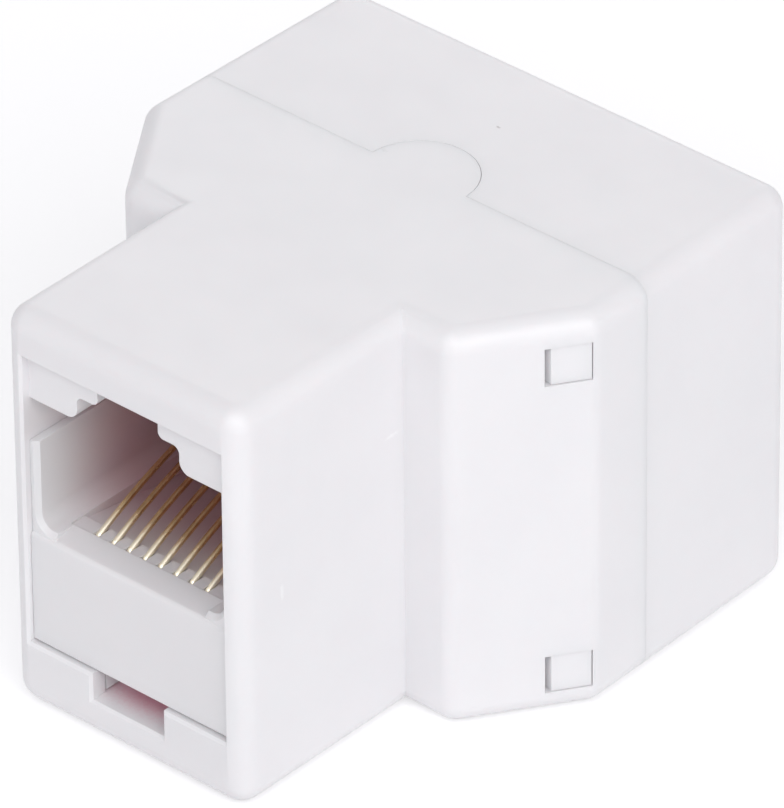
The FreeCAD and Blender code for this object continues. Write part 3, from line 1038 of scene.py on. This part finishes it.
@dataclass
class SolderJoints:
    """The solder fillets round the tails on one face of the board, each a flared cone of revolution.

    Attributes:
        name: Name of the piece.
        side: 1 for the board's rear face and -1 for its front face.
        board_half: Half the thickness of the board.
        base_radius: Radius at the board.
        neck_radius: Radius at the tail.
        height: Height of a fillet.
        flare: Exponent of the profile.
        rings: Rings from the board to the neck.
        turns: Points round a ring.
    """

    name: str
    side: float
    board_half: float = 0.8
    base_radius: float = 0.48
    neck_radius: float = 0.25
    height: float = 0.5
    flare: float = 2.4
    rings: int = 7
    turns: int = 16

    def build(self, tails: np.ndarray, material: bpy.types.Material) -> bpy.types.Object:
        """Builds one mesh with a fillet at each tail.

        The profile is r = neck + (base - neck) (1 - t)^flare at the share t of the height, with a flat face
        over each end.

        Args:
            tails: Places (x, z) of the tails, in millimetres.
            material: Finish of the solder.

        Returns:
            The piece.
        """
        share = np.linspace(0.0, 1.0, self.rings)
        radius = self.neck_radius + (self.base_radius - self.neck_radius) * (1.0 - share) ** self.flare
        angle = np.arange(self.turns) / self.turns * 2.0 * math.pi
        x = radius[:, None] * np.cos(angle)
        z = radius[:, None] * np.sin(angle)
        level = self.side * (self.board_half + self.height * share)
        y = np.broadcast_to(level[:, None], x.shape)
        cone = np.stack([x, y, z], 2).reshape(-1, 3)
        spots = np.stack([tails[:, 0], np.zeros(len(tails)), tails[:, 1]], 1)
        vertices = (cone[None] + spots[:, None]).reshape(-1, 3) * MM
        faces: list[list[int]] = []
        for start in range(0, len(vertices), len(cone)):
            faces += tube_faces(self.rings, self.turns, start)
        piece = new_object(self.name, vertices, faces)
        work = bmesh.new()
        work.from_mesh(piece.data)
        bmesh.ops.recalc_face_normals(work, faces=work.faces)
        work.to_mesh(piece.data)
        work.free()
        shade(piece)
        piece.data.materials.append(material)
        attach(piece, "root")
        return piece


@dataclass
class CircuitBoard:
    """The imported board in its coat, with the solder joints on both faces."""

    node: str = "circuit_board"
    coat: BoardLaminate = BoardLaminate()
    solder: Solder = Solder()

    def build(self, nodes: dict[str, bpy.types.Object], rows: Sequence[ContactRow]) -> int:
        """Dresses the board and solders the wires, the single socket's at its rear and the others' in front.

        Args:
            nodes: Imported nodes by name.
            rows: The wires of the three sockets, the single one first.

        Returns:
            Number of solder joints.
        """
        board = nodes[self.node]
        board.data.materials.clear()
        board.data.materials.append(self.coat.build())
        metal = self.solder.build()
        front_tails = rows[0].tails()
        rear_tails = np.concatenate([row.tails() for row in rows[1:]])
        SolderJoints("front_solder", 1.0).build(front_tails, metal)
        SolderJoints("rear_solder", -1.0).build(rear_tails, metal)
        return len(front_tails) + len(rear_tails)


@dataclass
class SoftPanel:
    """A soft light panel that faces a point.

    Attributes:
        name: Name of the panel.
        place: Middle of the panel, in metres.
        power: Power in watts.
        size: Width and height, in metres.
        aim: Point that it faces, in metres.
    """

    name: str
    place: Point
    power: float
    size: Span = (0.5, 0.4)
    aim: Point = (0.0, 0.0, 0.011)

    def build(self) -> None:
        """Adds the panel to the scene."""
        lamp = bpy.data.lights.new(self.name, "AREA")
        lamp.shape = "RECTANGLE"
        lamp.size, lamp.size_y = self.size
        lamp.energy = self.power
        holder = bpy.data.objects.new(self.name, lamp)
        bpy.context.scene.collection.objects.link(holder)
        way = Vector(self.aim) - Vector(self.place)
        turn = way.to_track_quat("-Z", "Y").to_matrix().to_4x4()
        holder.matrix_world = Matrix.Translation(Vector(self.place)) @ turn


@dataclass
class Studio:
    """Floor, soft light and camera.

    Attributes:
        floor_size: Side of the floor, in metres.
        floor_drop: Distance of the floor below the object's underside.
        sky_diffuse: Strength of the surround as a light.
        sky_colour: Colour of the surround as a light.
        camera_place: Place of the camera, in millimetres.
        camera_right: Direction to the right of the picture.
        camera_up: Direction to the top of the picture.
        camera_forward: Direction in which the camera looks.
        focal_pixels: Focal length, in pixels of the photograph.
        frame_long_side: Height of the photograph, in pixels.
        sensor: Size of the sensor along the long side, in millimetres.
        clip: Nearest and farthest distance that the camera sees, in metres.
        panels: The light panels.
    """

    floor_size: float = 3.0
    floor_drop: float = 0.02
    sky_diffuse: float = 0.47
    sky_colour: Colour = (0.97, 0.962, 1.0)
    camera_place: Point = (301.524, -333.945, 317.545)
    camera_right: Point = (0.749204, 0.662281, -0.008754)
    camera_up: Point = (-0.366579, 0.425628, 0.827321)
    camera_forward: Point = (-0.551645, 0.616623, -0.561661)
    focal_pixels: float = 11167.0
    frame_long_side: float = 808.0
    sensor: float = 36.0
    clip: Span = (0.01, 20.0)
    panels: tuple[SoftPanel, ...] = (
        SoftPanel("side_panel", (0.55, -0.05, 0.22), 0.35),
        SoftPanel("corner_panel", (0.42, -0.25, 0.38), 1.35),
        SoftPanel("front_panel", (0.12, -0.42, 0.42), 0.75),
        SoftPanel("back_panel", (-0.35, 0.5, 0.3), 0.75),
    )

    def build_floor(self) -> None:
        """Lays the paper floor under the object."""
        corners = self.floor_size / 2 * np.array([(-1, -1, 0), (1, -1, 0), (1, 1, 0), (-1, 1, 0)])
        corners[:, 2] = -self.floor_drop * MM
        floor = new_object("studio_floor", corners, [(0, 1, 2, 3)])
        floor.data.materials.append(StudioPaper().build())

    def build_sky(self) -> None:
        """A white surround where it is seen, and a softer one for the light that it gives."""
        world = bpy.data.worlds.new("surround")
        bpy.context.scene.world = world
        tree = Tree(world)
        soft = tree.add("ShaderNodeBackground")
        tree.feed(soft.inputs["Color"], (*self.sky_colour, 1.0))
        tree.feed(soft.inputs["Strength"], self.sky_diffuse)
        white = tree.add("ShaderNodeBackground")
        tree.feed(white.inputs["Color"], (1.0, 1.0, 1.0, 1.0))
        tree.feed(white.inputs["Strength"], 1.0)
        tree.either(tree.seen(tree.add("ShaderNodeLightPath")), soft, white)

    def build_camera(self) -> None:
        """Sets the camera where the photograph was taken from, with the same long lens."""
        lens = bpy.data.cameras.new("photo_camera")
        lens.sensor_width = self.sensor
        lens.lens = self.focal_pixels / self.frame_long_side * self.sensor
        lens.clip_start, lens.clip_end = self.clip
        holder = bpy.data.objects.new("photo_camera", lens)
        bpy.context.scene.collection.objects.link(holder)
        right, up = Vector(self.camera_right), Vector(self.camera_up)
        turn = Matrix((right, up, -Vector(self.camera_forward))).transposed().to_4x4()
        holder.matrix_world = Matrix.Translation(Vector(self.camera_place) * MM) @ turn
        bpy.context.scene.camera = holder

    def build(self) -> None:
        """Builds the whole studio."""
        self.build_floor()
        self.build_sky()
        self.build_camera()
        for panel in self.panels:
            panel.build()
        bpy.context.scene.view_settings.view_transform = "Standard"


# Three specks on top, two light scuffs on the right of the neck, and painted warm shade at the back of its
# release slot.
CASE_MARKS = (
    SurfaceMark((0.13, 10.92, 22.9), (0.16, 0.10, 0.12), (0.34, 0.31, 0.30), 0.5),
    SurfaceMark((-7.2, -4.91, 22.9), (0.28, 0.16, 0.2), (0.60, 0.58, 0.58), 0.25),
    SurfaceMark((-2.72, 5.75, 22.9), (0.24, 0.16, 0.2), (0.60, 0.58, 0.58), 0.25),
    SurfaceMark((7.6, -5.5, 16.48), (0.3, 0.7, 0.16), (0.93, 0.93, 0.94), 0.6),
    SurfaceMark((7.6, -13.4, 11.58), (0.3, 0.14, 0.8), (0.93, 0.93, 0.94), 0.5),
    # Painted shade: a dark red tone painted at the back of the release slot.
    SurfaceMark((0.0, -13.3, 2.2), (6.0, 2.9, 0.9), (0.78, 0.30, 0.40), 0.85, 0.04),
)


def case_plastic(name: str, painted_socket_shade: PaintedSocketShade) -> MouldedPlastic:
    """The finish of a case half.

    Args:
        name: Name of the material.
        painted_socket_shade: Painted warm shade inside its sockets.

    Returns:
        The finish.
    """
    return MouldedPlastic(
        name,
        colour=(0.840, 0.828, 0.844),
        cloud_colour=(0.822, 0.811, 0.829),
        roughness=(0.30, 0.42),
        painted_socket_shade=painted_socket_shade,
        marks=CASE_MARKS,
    )


def insert_plastic(name: str, painted_socket_shade: PaintedSocketShade) -> MouldedPlastic:
    """The finish of a contact block.

    Args:
        name: Name of the material.
        painted_socket_shade: Painted warm shade inside its socket.

    Returns:
        The finish.
    """
    return MouldedPlastic(
        name,
        colour=(0.812, 0.801, 0.815),
        cloud_colour=(0.798, 0.788, 0.803),
        roughness=(0.34, 0.48),
        painted_socket_shade=painted_socket_shade,
    )


def main() -> None:
    """Builds and dresses the sub-assemblies in order."""
    logging.basicConfig(level=logging.INFO, format="%(name)s: %(message)s")
    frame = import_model()
    nodes = frame["nodes"]

    # Painted warm shade inside the sockets: the single socket's narrow block and the rear pair's wide one.
    front_painted_shade = PaintedSocketShade(FRONT_HALF_WIDTH)
    rear_painted_shade = PaintedSocketShade(REAR_HALF_WIDTH)
    rear_insert = insert_plastic("rear_insert_plastic", rear_painted_shade).build()
    finishes = {
        "front_shell": case_plastic("front_case_plastic", front_painted_shade).build(),
        "rear_shell": case_plastic("rear_case_plastic", rear_painted_shade).build(),
        "front_insert": insert_plastic("front_insert_plastic", front_painted_shade).build(),
        "left_insert": rear_insert,
        "right_insert": rear_insert,
    }
    for name, material in finishes.items():
        slot = "case_plastic" if name.endswith("shell") else "insert_plastic"
        piece = CasePart(name, slot).build(nodes, material)
        LOG.info("%s: %d faces", piece.name, len(piece.data.polygons))

    gold = GoldPlate().build()
    rows = [
        ContactRow(Socket.FRONT, FRONT_TAILS),
        ContactRow(Socket.LEFT, REAR_TAILS),
        ContactRow(Socket.RIGHT, REAR_TAILS),
    ]
    for row in rows:
        wires = row.build(gold)
        LOG.info("%s wires: %d pieces", row.socket.value, len(wires))
    joints = CircuitBoard().build(nodes, rows)
    LOG.info("circuit board and %d solder joints", joints)

    Studio().build()


if __name__ == "__main__":
    main()
